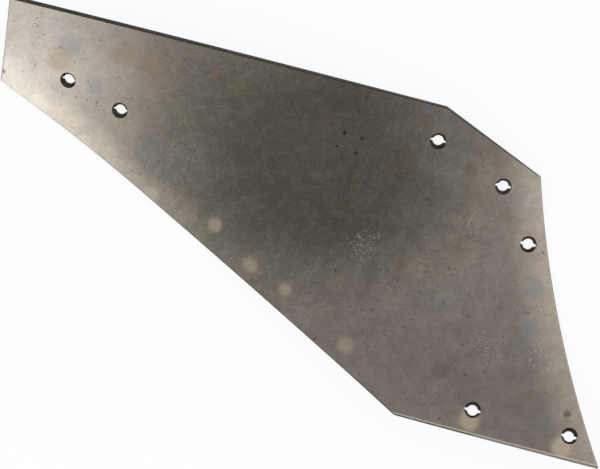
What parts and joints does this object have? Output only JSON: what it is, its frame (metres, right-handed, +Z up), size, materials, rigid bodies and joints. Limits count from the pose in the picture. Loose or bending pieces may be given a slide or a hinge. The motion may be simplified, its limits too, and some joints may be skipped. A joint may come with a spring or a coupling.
{
  "type": "plough mouldboard",
  "caption": "Curved steel plough mouldboard with a chamfered top corner, hollow shin edge, straight share edge, long tapering tail and countersunk plough-bolt holes.",
  "frame": {"origin": "centre of the bounding box at the floor that the plate rests on", "axes": "+X along the straight top edge from the tail to the point, +Y from the share edge to the top edge, +Z up out of the hollow working face"},
  "size_m": [0.8372, 0.3894, 0.0688],
  "materials": {
    "plate_steel": "rolled and heat treated plate, brown-grey with a dull satin sheen"
  },
  "bodies": {
    "root": {"mouldboard": "plate_steel"}
  },
  "joints": []
}
